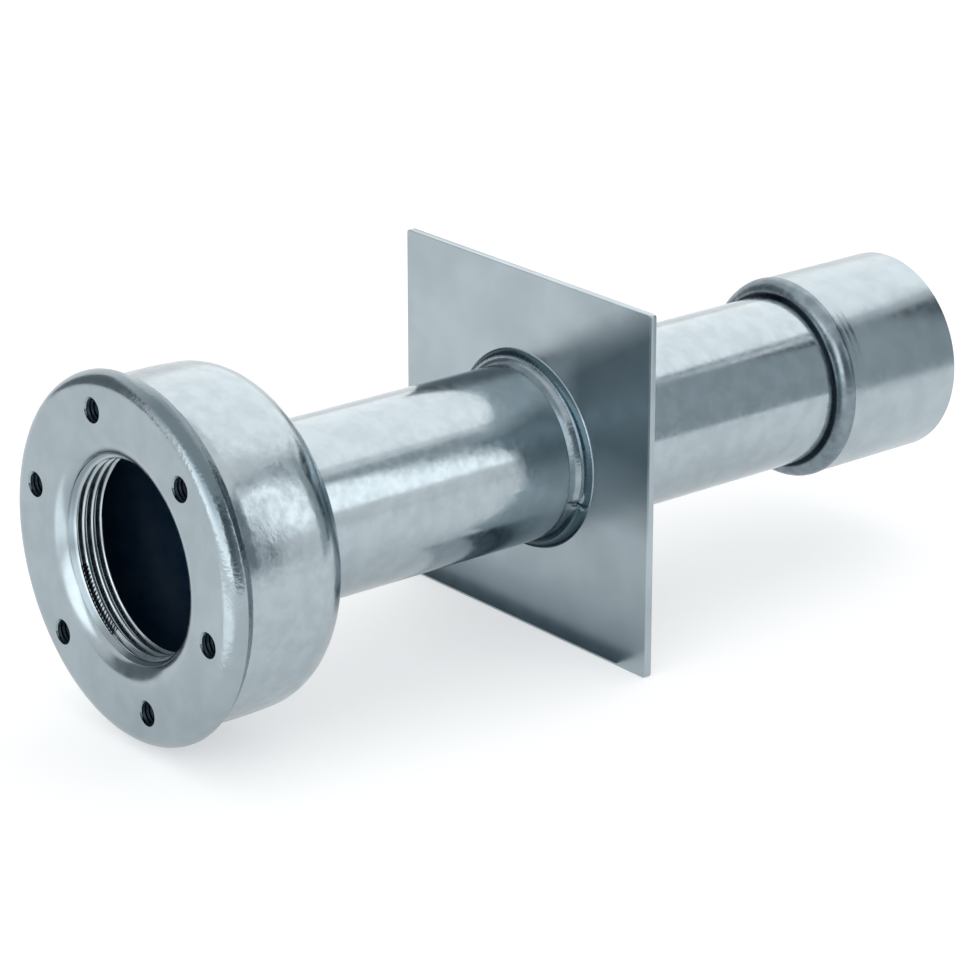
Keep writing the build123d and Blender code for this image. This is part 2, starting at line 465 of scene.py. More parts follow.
def tube_steel(name, colours):
    """Pickled welded tube: a cold satin, whose mottle breaks up the edges of reflections.

    The mottle is coarser than real, so that it shows. The bore is painted nearly black, as painted shade, and is
    rough and not a metal.
    """
    material, tree, shader, place = satin(
        name, colours.steel, colours.steel_dull, 4.5, (0.12, 0.2, 2.0),
        [(4.5, 0.004), (1.6, 0.002)],
    )
    radius = radius_of(tree, place)
    # The bore is painted nearly black: painted shade inside the pipe
    bore = add(tree, "ShaderNodeMath", {"operation": "LESS_THAN"}, i0=radius, i1=20.3 * MM)
    darkened(tree, shader, bore, colours.scale)
    outside = add(tree, "ShaderNodeMath", {"operation": "SUBTRACT"}, i0=1.0, i1=bore)
    tree.links.new(outside.outputs[0], shader.inputs["Metallic"])
    satin_rough = shader.inputs["Roughness"].links[0].from_socket
    dry = add(tree, *MULTIPLY_ADD, i0=bore, i1=0.4, i2=satin_rough)
    tree.links.new(dry.outputs[0], shader.inputs["Roughness"])
    return material


def drawn_steel(name, colours):
    """Deep-drawn cup, pickled: satin, with an orange-peel wave from the stretch of the sheet.

    The wave is coarser than real orange peel, so that it shows.
    """
    return satin(
        name, colours.steel, colours.steel_dull, 4.0, (0.15, 0.26, 2.4),
        [(4.5, 0.014), (1.8, 0.01)],
    )[0]


def turned_steel(name, colours):
    """Lathe-turned steel, pickled: an even satin with the faintest wave."""
    return satin(name, colours.steel, colours.steel_dull, *TURNED)[0]


def thread_steel(name, colours):
    """Turned steel with painted shade at the thread's entry, and chatter marks in the first groove.

    The marks hold dark cutting oil. They slant, and are coarser than real ones, so that they show.
    """
    material, tree, shader, place = satin(name, colours.steel, colours.steel_dull, *TURNED)
    parts = add(tree, "ShaderNodeSeparateXYZ", Vector=place).outputs
    angle = add(tree, "ShaderNodeMath", {"operation": "ARCTAN2"}, i0=parts["Z"], i1=parts["X"])
    slant = add(tree, *MULTIPLY_ADD, i0=parts["Y"], i1=45.0, i2=angle)
    turns = add(tree, *MULTIPLY, i0=slant, i1=150.0)
    wave = add(tree, "ShaderNodeMath", {"operation": "SINE"}, i0=turns)
    stripes = add(tree, "ShaderNodeMapRange", Value=wave, i1=-0.3, i2=0.5, i3=0.35, i4=1.0)
    side = add(tree, *COMPARE, i0=angle, i1=-2.4, i2=0.38)
    depth = add(tree, *COMPARE, i0=parts["Y"], i1=4.6 * MM, i2=0.9 * MM)
    groove = add(tree, *MULTIPLY, i0=side, i1=depth)
    marks = add(tree, *MULTIPLY, i0=groove, i1=stripes)
    darkened(tree, shader, marks, colours.tapped)
    # Painted shade at the thread's entry
    entry = add(tree, "ShaderNodeMapRange", Value=parts["Y"], i1=3.3 * MM, i2=3.6 * MM, i3=0.5, i4=0.0)
    darkened(tree, shader, entry, colours.tint)
    return material


def rim_steel(name, colours):
    """Turned flange whose rim was ground by hand on one side: there it glitters, and its edge is dark above.

    The grit is coarser than real grit, so that it shows. The dark edge above is painted shade.
    """
    material, tree, shader, place = satin(name, colours.turned, colours.turned_dull, *TURNED)
    parts = add(tree, "ShaderNodeSeparateXYZ", Vector=place).outputs
    radius = radius_of(tree, place)
    reach = add(tree, "ShaderNodeMapRange", Value=radius, i1=38.2 * MM, i2=40.0 * MM)
    side = add(tree, "ShaderNodeMapRange", Value=parts["X"], i1=-4.0 * MM, i2=14.0 * MM)
    ground = add(tree, *MULTIPLY, i0=reach, i1=side)
    # Painted shade on the rim's edge above, towards one side
    edge = add(tree, "ShaderNodeMapRange", Value=radius, i1=40.4 * MM, i2=41.4 * MM)
    above = add(tree, "ShaderNodeMapRange", Value=parts["Z"], i1=10.0 * MM, i2=24.0 * MM, i3=0.0, i4=0.7)
    band = add(tree, *MULTIPLY, i0=edge, i1=above)
    tinted = add(tree, *MULTIPLY, i0=band, i1=side)
    darkened(tree, shader, tinted, colours.tint)
    grain = uneven(tree, place, 1.1, 0.0, 1.0)
    grit = add(tree, *MULTIPLY, i0=grain, i1=ground)
    smooth = shader.inputs["Normal"].links[0].from_socket
    bump = add(tree, "ShaderNodeBump", Height=grit, Distance=0.03 * MM, Strength=1.0, Normal=smooth)
    tree.links.new(bump.outputs["Normal"], shader.inputs["Normal"])
    return material


def sheet_steel(name, colours):
    """Cold-rolled sheet, pickled: smooth and a little dull. Painted shade darkens its front right of the pipe."""
    material, tree, shader, place = satin(
        name, colours.steel, colours.steel_dull, 16.0, (0.28, 0.34, 5.0),
        [(11.0, 0.004)],
    )
    parts = add(tree, "ShaderNodeSeparateXYZ", Vector=place).outputs
    # Painted shade on the front, right of and above the pipe
    right = add(tree, "ShaderNodeMapRange", Value=parts["X"], i1=8.0 * MM, i2=20.0 * MM, i3=0.0, i4=0.78)
    above = add(tree, "ShaderNodeMapRange", Value=parts["Z"], i1=-11.0 * MM, i2=9.0 * MM)
    slope = add(tree, *MULTIPLY_ADD, i0=parts["X"], i1=-0.6, i2=parts["Z"])
    below = add(tree, "ShaderNodeMapRange", Value=slope, i1=12.0 * MM, i2=24.0 * MM, i3=1.0, i4=0.0)
    span = add(tree, *MULTIPLY, i0=above, i1=below)
    front = add(tree, "ShaderNodeMath", {"operation": "LESS_THAN"}, i0=parts["Y"], i1=115.0 * MM)
    face = add(tree, *MULTIPLY, i0=right, i1=front)
    share = add(tree, *MULTIPLY, i0=span, i1=face)
    darkened(tree, shader, share, colours.tint)
    return material


def weld_steel(name, colours):
    """Weld metal, pickled: smooth satin, a shade darker than the sheet, with a fine grain."""
    return satin(
        name, colours.weld, colours.weld_dull, 3.0, (0.2, 0.28, 1.2),
        [(1.2, 0.004), (0.6, 0.002)],
    )[0]


def bead_steel(name, colours):
    """Rolled weld bead: an even satin, with painted shade where it meets the pipe."""
    material, tree, shader, place = satin(
        name, colours.weld_dull, colours.bead, 3.0, (0.26, 0.33, 2.0),
        [(3.0, 0.004)],
    )
    radius = radius_of(tree, place)
    # Painted shade in the crevice where the bead meets the pipe
    share = add(tree, "ShaderNodeMapRange", Value=radius, i1=21.9 * MM, i2=22.5 * MM, i3=1.0, i4=0.0)
    darkened(tree, shader, share, colours.tapped)
    return material


def tinted_weld_steel(name, colours):
    """Collar weld: painted shade darkens its hollow, its edge at the pipe and its underside."""
    material, tree, shader, place = satin(
        name, colours.weld, colours.weld_dull, 3.0, (0.2, 0.28, 1.2),
        [(1.2, 0.005), (0.6, 0.002)],
    )
    radius = radius_of(tree, place)
    parts = add(tree, "ShaderNodeSeparateXYZ", Vector=place).outputs
    # Painted shade in the hollow, along the edge at the pipe and on the underside
    hollow = add(tree, *COMPARE, i0=parts["Y"], i1=113.7 * MM, i2=0.55 * MM)
    run = add(tree, "ShaderNodeMapRange", Value=radius, i1=21.9 * MM, i2=22.2 * MM, i3=0.6, i4=0.0)
    under = add(tree, "ShaderNodeMapRange", Value=parts["Z"], i1=-7.0 * MM, i2=-9.0 * MM, i3=0.0, i4=0.85)
    runs = add(tree, *MAXIMUM, i0=hollow, i1=run)
    share = add(tree, *MAXIMUM, i0=runs, i1=under)
    darkened(tree, shader, share, colours.tint)
    return material


def ground_steel(name, colours):
    """Hand-ground weld seam with grit marks, with painted shade that darkens it towards one side.

    The marks are coarser than real ones, so that they show.
    """
    material, tree, shader, place = satin(
        name, colours.weld, colours.weld_dull, 1.4, (0.22, 0.34, 0.9),
        [(1.1, 0.012), (0.6, 0.004)],
    )
    # Painted shade, darker towards one side
    sideways = add(tree, "ShaderNodeSeparateXYZ", Vector=place).outputs["X"]
    share = add(tree, "ShaderNodeMapRange", Value=sideways, i1=-5.0 * MM, i2=25.0 * MM, i3=0.2, i4=0.65)
    darkened(tree, shader, share, colours.tint)
    return material


def tapped_steel(name, colours):
    """Freshly tapped thread, painted nearly black as the shade in the hole, with small glints on its crests."""
    return satin(
        name, colours.tapped, colours.tapped_dull, 1.6, (0.25, 0.4, 0.5),
        [(0.5, 0.003), (0.3, 0.001)],
    )[0]


def drawing_scale(name, colours):
    """Painted shade inside the cup: nearly black, rough and not a metal, with faint lighter dust."""
    material, tree, shader = new_tree(name, {"Specular IOR Level": 0.1})
    place = add(tree, "ShaderNodeTexCoord").outputs["Object"]
    dust = uneven(tree, place, 6.0, 0.0, 0.04)
    blend(tree, shader, dust, (*colours.scale, 1.0), (*colours.weld_dull, 1.0))
    tree.links.new(uneven(tree, place, 3.0, 0.5, 0.65), shader.inputs["Roughness"])
    crust = uneven(tree, place, 0.8, 0.0, 1.0)
    bump = add(tree, "ShaderNodeBump", Height=crust, Distance=0.004 * MM, Strength=1.0)
    tree.links.new(bump.outputs["Normal"], shader.inputs["Normal"])
    return material


def finish_named(name, make, context):
    """The finish of that name, made once."""
    return bpy.data.materials.get(name) or make(name, context.scene.sleeve_finish)


class MakePiece(bpy.types.Operator):
    """What the operators for the pieces share."""

    bl_options = {"REGISTER", "UNDO"}


def tapped_hole(sizes, thickness):
    """The wall of one tapped hole with its countersink, about the pipe's axis, as a mesh."""
    core = millimetres(sizes.hole_radius)
    sink = millimetres(sizes.hole_sink)
    depth = sink - core
    height = millimetres(sizes.hole_thread)
    bm = bmesh.new()
    threaded_wall(bm, core, height, millimetres(sizes.hole_pitch), depth, thickness, phase=0.3, steps=36)
    for vert in verts_of(bmesh.ops.extrude_edge_only(bm, edges=open_edges(bm, depth))):
        set_radius(vert, sink)
        vert.co.y = 0.0
    for face in bm.faces:
        # The countersink's faces have their middle at half its depth. Those behind are the thread, painted dark as
        # the shade in the hole.
        face.material_index = int(face.calc_center_median().y > 0.7 * depth)
    return as_mesh(bm, "tapped_hole")


class WALLSLEEVE_OT_flange(MakePiece):
    """Makes the front flange: a turned disc with a rolled lip, a rounded rim and six tapped holes"""

    bl_idname = "wall_sleeve.flange"
    bl_label = "Front Flange"

    def execute(self, context):
        sizes = context.scene.sleeve_sizes
        rim, front, rear = node_span("face_flange")
        bush, seat, _ = node_span("threaded_bush")
        mouth = millimetres(sizes.front_core + sizes.pipe_thread) + LIP_CLEARANCE
        reach = millimetres(sizes.lip_reach)
        drop = millimetres(sizes.lip_depth)
        # Radius of the arc that is level with the face at the lip's outer end and ends on the mouth's edge
        roll = (reach * reach + drop * drop) / (2 * reach)
        bm = bmesh.new()
        section = [
            (mouth, front + drop),
            (mouth + reach - roll, front),
            (rim, front),
            (rim, rear),
            (bush + SLIP_FIT, rear),
            (bush + SLIP_FIT, seat),
            (mouth - LIP_OVERLAP, seat),
        ]
        turn(bm, line(bm, section, closed=True), steps=264)
        round_ring(bm, mouth + reach - roll, front, LIP_SHARE * roll, segments=14)
        round_ring(bm, rim, front, millimetres(sizes.rim_rounding), segments=12)
        round_ring(bm, rim, rear, millimetres(sizes.rim_back_rounding), segments=8)
        for depth in (front, rear):
            bmesh.ops.delete(bm, geom=at_depth(bm.faces, depth), context="FACES")
        hole = tapped_hole(sizes, rear - front)
        for i in range(sizes.hole_count):
            angle = math.tau * (i / sizes.hole_count + 1 / 8)
            known = set(bm.verts)
            bm.from_mesh(hole)
            added = [v for v in bm.verts if v not in known]
            centre = Vector((math.cos(angle), 0.0, math.sin(angle))) * millimetres(sizes.hole_circle)
            bmesh.ops.translate(bm, vec=centre, verts=added)
        bpy.data.meshes.remove(hole)
        fill(bm, front)
        fill(bm, rear)
        materials = [
            finish_named("ground_rim_steel", rim_steel, context),
            # The tapped holes' threads are painted dark: painted shade
            finish_named("oiled_tapped_steel", tapped_steel, context),
        ]
        finish("front_flange", bm, materials, ["face_flange"])
        return {"FINISHED"}


class WALLSLEEVE_OT_bush(MakePiece):
    """Makes the short threaded bush behind the lip"""

    bl_idname = "wall_sleeve.bush"
    bl_label = "Threaded Bush"

    def execute(self, context):
        sizes = context.scene.sleeve_sizes
        outside, front, rear = node_span("threaded_bush")
        core = millimetres(sizes.front_core)
        height = millimetres(sizes.pipe_thread)
        entry = core + height + THREAD_ENTRY
        bm = bmesh.new()
        threaded_wall(bm, core, height, millimetres(sizes.pipe_pitch), front, rear, phase=0.5, steps=360)
        widen(bm, lambda depth: max(entry - (depth - front), core + BUSH_INNER_EDGE - (rear - depth)))
        body = [(outside, front), (outside, rear - BUSH_EDGE), (outside - BUSH_EDGE, rear)]
        turn(bm, line(bm, body), steps=192)
        fill(bm, front)
        fill(bm, rear)
        material = finish_named("chattered_thread_steel", thread_steel, context)
        finish("front_thread_bush", bm, [material], ["threaded_bush"])
        return {"FINISHED"}


class WALLSLEEVE_OT_cup(MakePiece):
    """Makes the drawn cup with its full knuckle"""

    bl_idname = "wall_sleeve.cup"
    bl_label = "Drawn Cup"

    def execute(self, context):
        sizes = context.scene.sleeve_sizes
        outside, front, rear = node_span("cup_shell")
        pipe = node_span("pipe")[0] + SLIP_FIT
        knuckle = millimetres(sizes.knuckle)
        bm = bmesh.new()
        section = [
            (outside - CUP_WALL, front),
            (outside - SEAM_BEVEL, front),
            *((outside - inset, front + depth) for depth, inset in CUP_SWELL),
            (outside - CUP_REAR_TAPER, rear),
            (pipe, rear),
            (pipe, rear - CUP_WALL),
            (outside - CUP_WALL, rear - CUP_WALL),
        ]
        turn(bm, line(bm, section, closed=True), steps=264)
        round_ring(bm, outside - CUP_REAR_TAPER, rear, knuckle, segments=24)
        round_ring(bm, outside - CUP_WALL, rear - CUP_WALL, knuckle - CUP_WALL, segments=16)
        materials = [
            finish_named("pickled_drawn_steel", drawn_steel, context),
            finish_named("dark_drawing_scale", drawing_scale, context),
        ]
        for face in bm.faces:
            # What lies inside the middle of the wall takes the second material, the painted shade inside the cup
            point = face.calc_center_median()
            over = max(off_axis(point) - (outside - knuckle), 0.0)
            behind = max(point.y - (rear - knuckle), 0.0)
            if math.hypot(over, behind) < knuckle - CUP_WALL / 2:
                face.material_index = 1
        finish("drawn_cup", bm, materials, ["cup_shell"])
        return {"FINISHED"}


class WALLSLEEVE_OT_pipe(MakePiece):
    """Gives the pipe its finish"""

    bl_idname = "wall_sleeve.pipe"
    bl_label = "Pipe"

    def execute(self, context):
        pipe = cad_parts["pipe"]
        pipe.material_slots[0].material = finish_named("pickled_tube_steel", tube_steel, context)
        return {"FINISHED"}


class WALLSLEEVE_OT_plate(MakePiece):
    """Makes the square wall plate with its broken edges"""

    bl_idname = "wall_sleeve.plate"
    bl_label = "Wall Plate"

    def execute(self, context):
        sizes = context.scene.sleeve_sizes
        half, front, rear = node_span("wall_plate")
        hole = node_span("pipe")[0] + PLATE_FIT
        bm = bmesh.new()
        turn(bm, line(bm, [(hole, front), (hole, rear)]), steps=132)
        corners = [bm.verts.new((x * half, front, z * half)) for x, z in ((-1, -1), (1, -1), (1, 1), (-1, 1))]
        sides = [bm.edges.new(pair) for pair in zip(corners, corners[1:] + corners[:1])]
        far = verts_of(bmesh.ops.extrude_edge_only(bm, edges=sides))
        bmesh.ops.translate(bm, vec=(0, rear - front, 0), verts=far)
        outer = [e for e in bm.edges if off_axis(e.verts[0].co) > half]
        corner_edges = [e for e in outer if abs(e.verts[0].co.y - e.verts[1].co.y) > SAME]
        bevel(bm, corner_edges, PLATE_CORNER, segments=4)
        fill(bm, front)
        fill(bm, rear)
        bmesh.ops.recalc_face_normals(bm, faces=bm.faces)
        outer = [e for e in bm.edges if off_axis(e.verts[0].co) > (hole + half) / 2]
        square_edges = [e for e in outer if e.calc_face_angle(0.0) > SHARP_ANGLE]
        bevel(bm, square_edges, millimetres(sizes.sheet_edge), segments=2)
        material = finish_named("cold_rolled_sheet_steel", sheet_steel, context)
        finish("square_plate", bm, [material], ["wall_plate"])
        return {"FINISHED"}


class WALLSLEEVE_OT_socket(MakePiece):
    """Makes the rear socket with its inside thread"""

    bl_idname = "wall_sleeve.socket"
    bl_label = "Rear Socket"

    def execute(self, context):
        sizes = context.scene.sleeve_sizes
        outside, front, rear = node_span("rear_socket")
        grip, _, stop = node_span("pipe")
        weld_end = node_span("socket_weld")[2]
        core = millimetres(sizes.rear_core)
        height = millimetres(sizes.pipe_thread)
        bm = bmesh.new()
        threaded_wall(bm, core, height, millimetres(sizes.pipe_pitch), stop, rear, phase=0.1, steps=168)
        widen(bm, lambda depth: core + height + THREAD_ENTRY - (rear - depth))
        body = [(outside - SOCKET_EDGE, rear), (outside, rear - SOCKET_EDGE)]
        for line_rear, middle, line_front, depth in SOCKET_LINES:
            body.append((outside, weld_end + line_rear))
            body.append((outside - depth, weld_end + middle))
            body.append((outside, weld_end + line_front))
        body += [
            (outside, weld_end),
            (grip + SLIP_FIT + SOCKET_FACE, front),
            (grip + SLIP_FIT, front),
            (grip + SLIP_FIT, stop),
        ]
        turn(bm, line(bm, body), steps=192)
        fill(bm, rear)
        fill(bm, stop)
        material = finish_named("pickled_turned_steel", turned_steel, context)
        finish("rear_thread_socket", bm, [material], ["rear_socket"])
        return {"FINISHED"}


def bead(name, section, skin, steps, shape, material, nodes):
    """Turns a weld's half section and gives its skin the run's ripples.

    skin counts the section's first points, which are the ones that show. shape takes a point's angle
    round the axis and its place across the skin, from -1 to 1, and gives how far the point moves
    outwards and how far away from the axis, in millimetres.
    """
    bm = bmesh.new()
    across = bm.verts.layers.float.new("across")
    on_skin = bm.verts.layers.float.new("on_skin")
    geometry = line(bm, section, closed=True)
    for i, vert in enumerate(geometry[:skin]):
        vert[across] = 2 * i / (skin - 1) - 1
        vert[on_skin] = 1.0
    turn(bm, geometry, steps)
    bmesh.ops.recalc_face_normals(bm, faces=bm.faces)
    bm.normal_update()
    moves = []
    for vert in bm.verts:
        if vert[on_skin]:
            out, leg = shape(math.atan2(vert.co.z, vert.co.x), vert[across])
            moves.append((vert, vert.normal.copy() * out, leg))
    for vert, out, leg in moves:
        vert.co += out
        if leg:
            set_radius(vert, off_axis(vert.co) + leg)
    for layer in ("across", "on_skin"):
        bm.verts.layers.float.remove(bm.verts.layers.float[layer])
    finish(name, bm, [material], nodes)


def ripples(angle, across, radius, spacing, height, seed):
    """Height of the bowed ripples of one run of weld, which are as far apart as they must be to show.

    They drift in spacing and swell in height round the run, and fade out at both of its edges.
    """
    along = Vector((math.cos(angle), math.sin(angle), 0.0))
    drift = noise.noise(along * 9.0 + Vector((0.0, 0.0, seed)))
    phase = angle * round(radius * math.tau / spacing) / math.tau + 0.55 * across * across + 1.2 * drift
    swell = 0.75 + 0.5 * noise.noise(along * 31.0 + Vector((0.0, 0.0, seed + 5.0)))
    edge = max(0.0, 1.0 - across ** 4)
    return height * edge * swell * (abs(math.sin(math.pi * phase)) - 0.5)


def swelling(angle, centre, width):
    """A round swelling from 0 to 1 at an angle. Its centre and its width are in degrees."""
    away = (math.degrees(angle) - centre + 180.0) % 360.0 - 180.0
    return math.exp(-(away / width) ** 2)


class WALLSLEEVE_OT_fillet_welds(MakePiece):
    """Makes the fillet welds on the cup and on both sides of the plate"""

    bl_idname = "wall_sleeve.fillet_welds"
    bl_label = "Fillet Welds"

    def execute(self, context):
        sizes = context.scene.sleeve_sizes
        spacing = millimetres(sizes.ripple)
        height = millimetres(sizes.ripple_height)
        pipe = node_span("pipe")[0]
        material = finish_named("pickled_weld_metal", weld_steel, context)
        for name, node, seed in (("cup_fillet", "cup_weld", 1.0), ("plate_rear_fillet", "plate_rear_weld", 2.0)):
            toe, front, rear = node_span(node)
            skin = bowed((pipe, rear), (toe, front), WELD_HOLLOW, count=10)

            def even(angle, across, seed=seed):
                return ripples(angle, across, pipe, spacing, height, seed), 0.0

            bead(name, skin + [(pipe, front)], len(skin), 960, even, material, [node])

        toe, front, rear = node_span("plate_front_weld")
        ridge = (pipe + RIDGE_HEIGHT, rear - RIDGE_DEPTH)
        inner = bowed((pipe, front), ridge, -WELD_HOLLOW / 2, count=6)
        outer = bowed(ridge, (toe, rear), -WELD_HOLLOW, count=8)
        skin = inner + outer[1:]

        def two_runs(angle, across):
            # The collar is wide on the right and narrow below. Its runs end in a knob with a notch under it.
            wide = 0.9 * swelling(angle, 10.0, 45.0) - 1.0 * swelling(angle, -95.0, 50.0)
            stop = 0.35 * swelling(angle, -13.0, 3.5) - 0.7 * swelling(angle, -19.0, 1.6)
            out = ripples(angle, across, pipe, spacing, height, seed=3.0) + stop * (1.0 - across * across)
            return out, wide * max(0.0, across + 1.0) / 2

        # The collar weld's finish holds painted shade in its hollow and under it
        material = finish_named("heat_tinted_weld_metal", tinted_weld_steel, context)
        bead("plate_front_fillet", skin + [(pipe, rear)], len(skin), 1080, two_runs, material, ["plate_front_weld"])
        return {"FINISHED"}


class WALLSLEEVE_OT_seam_weld(MakePiece):
    """Makes the ground seam weld between the flange and the cup"""

    bl_idname = "wall_sleeve.seam_weld"
    bl_label = "Seam Weld"

    def execute(self, context):
        sizes = context.scene.sleeve_sizes
        rim, _, thickness = node_span("face_flange")
        cup = node_span("cup_shell")[0]
        rounding = millimetres(sizes.rim_back_rounding)
        # The seam starts halfway round the rim's rear edge
        reach = rounding * math.sqrt(0.5)
        start = (rim - rounding + reach, thickness - rounding + reach)
        depth, inset = CUP_SWELL[0]
        skin = bowed(start, (cup - inset, thickness + depth), -SEAM_BULGE, count=8)
        buried = [(cup - SEAM_BEVEL, thickness), (rim - rounding, thickness)]
        material = finish_named("hand_ground_steel", ground_steel, context)

        def ground(angle, across):
            place = Vector((math.cos(angle), math.sin(angle), across * 0.05)) * 22.0
            grit = 0.05 * noise.noise(place) + 0.03 * noise.noise(place * 2.7)
            return grit * max(0.0, 1.0 - across ** 4), 0.0

        bead("seam_weld", skin + buried, len(skin), 1440, ground, material, ["flange_weld"])
        return {"FINISHED"}


class WALLSLEEVE_OT_socket_weld(MakePiece):
    """Makes the round-nosed weld bead in front of the socket"""

    bl_idname = "wall_sleeve.socket_weld"
    bl_label = "Socket Weld"

    def execute(self, context):
        sizes = context.scene.sleeve_sizes
        crown, _, rear = node_span("socket_weld")
        pipe = node_span("pipe")[0]
        socket, face, _ = node_span("rear_socket")
        radius = millimetres(sizes.bead_rounding)
        centre = (crown - radius, rear - BEAD_TOE)
        contact = math.acos((centre[0] - pipe) / radius)
        count = 16
        skin = []
        for i in range(count + 1):
            angle = contact + (math.pi - contact) * i / count
            skin.append((centre[0] - radius * math.cos(angle), centre[1] - radius * math.sin(angle)))
        buried = [(socket, rear), (pipe + SLIP_FIT + SOCKET_FACE, face), (pipe, face)]
        material = finish_named("smooth_bead_metal", bead_steel, context)

        def rolled(angle, across):
            place = Vector((math.cos(angle), math.sin(angle), 0.0))
            sway = 0.08 * noise.noise(place * 4.0) + 0.03 * noise.noise(place * 17.0)
            return sway * max(0.0, 1.0 - across ** 6), 0.0

        bead("socket_bead", skin + buried, len(skin), 1080, rolled, material, ["socket_weld"])
        return {"FINISHED"}


def level_direction(azimuth):
    """The level direction at an angle in degrees, from +Y towards +X."""
    return Vector((math.sin(math.radians(azimuth)), math.cos(math.radians(azimuth)), 0.0))


def aim(item, place, target):
    """Puts a lamp, card or camera at a place, turned to a target."""
    item.location = place
    item.rotation_mode = "QUATERNION"
    item.rotation_quaternion = (Vector(target) - Vector(place)).to_track_quat("-Z", "Y")


def shown(tree):
    """1 for a ray that shows the background: from the camera, off metal or through glass."""
    path = add(tree, "ShaderNodeLightPath").outputs
    share = path["Is Camera Ray"]
    for kind in ("Is Glossy Ray", "Is Transmission Ray"):
        share = add(tree, *MAXIMUM, i0=share, i1=path[kind])
    return share


def white_surround(scene, dome):
    """A surround that is white to the camera and in the metal, and lights matt things by dome."""
    world = bpy.data.worlds.new("white_surround")
    scene.world = world
    world.use_nodes = True
    tree = world.node_tree
    strength = add(tree, *MULTIPLY_ADD, i0=shown(tree), i1=1.0 - dome, i2=dome)
    back = tree.nodes["Background"]
    back.inputs["Color"].default_value = WHITE
    tree.links.new(strength.outputs[0], back.inputs["Strength"])


def pale_floor(colour_value, lift, metal_lift):
    """Matt pale floor, lifted towards white by lift where the camera shows it, and by metal_lift where
    the metal does. It keeps the object's shadow."""
    material, tree, shader = new_tree("pale_floor", {
        "Base Color": (*colour_value, 1.0), "Roughness": 0.9, "Specular IOR Level": 0.0, "Emission Color": WHITE,
    })
    seen = add(tree, "ShaderNodeLightPath").outputs["Is Camera Ray"]
    rest = add(tree, *MULTIPLY, i0=shown(tree), i1=metal_lift)
    strength = add(tree, *MULTIPLY_ADD, i0=seen, i1=lift - metal_lift, i2=rest)
    tree.links.new(strength.outputs[0], shader.inputs["Emission Strength"])
    return material


def card(name, width, height):
    """A flat studio card."""
    bm = bmesh.new()
    bmesh.ops.create_grid(bm, x_segments=1, y_segments=1, size=0.5)
    bmesh.ops.scale(bm, vec=(width, height, 1.0), verts=bm.verts)
    item = in_scene(name, as_mesh(bm, name))
    return item


def flag(name, place, target, width, height, hex_colour):
    """A grey card that only the metal sees, which puts a darker band on it."""
    item = card(name, width, height)
    material, _, _ = new_tree(name, {
        "Base Color": BLACK, "Specular IOR Level": 0.0,
        "Emission Color": (*linear(hex_colour), 1.0), "Emission Strength": 1.0,
    })
    item.data.materials.append(material)
    aim(item, place, target)
    item.visible_camera = False
    item.visible_diffuse = False
    item.visible_shadow = False


def soft_box(name, place, target, width, height, share, hex_colour):
    """A soft box whose face is share times white: an area lamp needs 4 W a square metre for that."""
    data = bpy.data.lights.new(name, "AREA")
    data.shape = "RECTANGLE"
    data.size = width
    data.size_y = height
    data.energy = 4 * share * width * height
    data.color = linear(hex_colour)
    item = in_scene(name, data)
    aim(item, place, target)
    item.visible_camera = False


